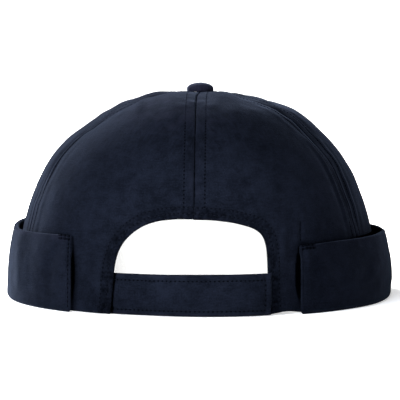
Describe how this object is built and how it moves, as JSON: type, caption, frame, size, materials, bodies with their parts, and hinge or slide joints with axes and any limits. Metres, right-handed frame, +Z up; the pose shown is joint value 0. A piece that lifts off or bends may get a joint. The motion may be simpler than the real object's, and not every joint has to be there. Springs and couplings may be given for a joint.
{
  "type": "brimless docker hat",
  "caption": "Brimless cotton cap with a panelled crown, covered button, turned-up cuff and an arched back opening closed by a strap.",
  "frame": {"origin": "centre of the hat's box in plan, on the surface that the hat stands on", "axes": "+Z up through the button, +Y towards the front of the hat, -Y towards the back opening, +X to the wearer's right"},
  "size_m": [0.2, 0.2034, 0.1101],
  "materials": {
    "navy_cotton": "brushed cotton twill, matt with a soft sheen",
    "navy_reverse": "reverse of the navy twill",
    "button_cloth": "navy twill drawn over a metal button",
    "white_cotton": "plain white cotton twill tape",
    "grip_pile": "hook-and-loop pile"
  },
  "bodies": {
    "root": {"crown_back_left": "navy_cotton", "crown_back_right": "navy_cotton", "crown_side_left": "navy_cotton", "crown_side_right": "navy_cotton", "crown_front_left": "navy_cotton", "crown_front_right": "navy_cotton", "cuff": "navy_cotton", "strap": "navy_cotton", "under_tab": "navy_reverse", "opening_facing": "navy_reverse", "button": "button_cloth", "sweatband": "white_cotton", "grip_pad": "grip_pile"}
  },
  "joints": []
}
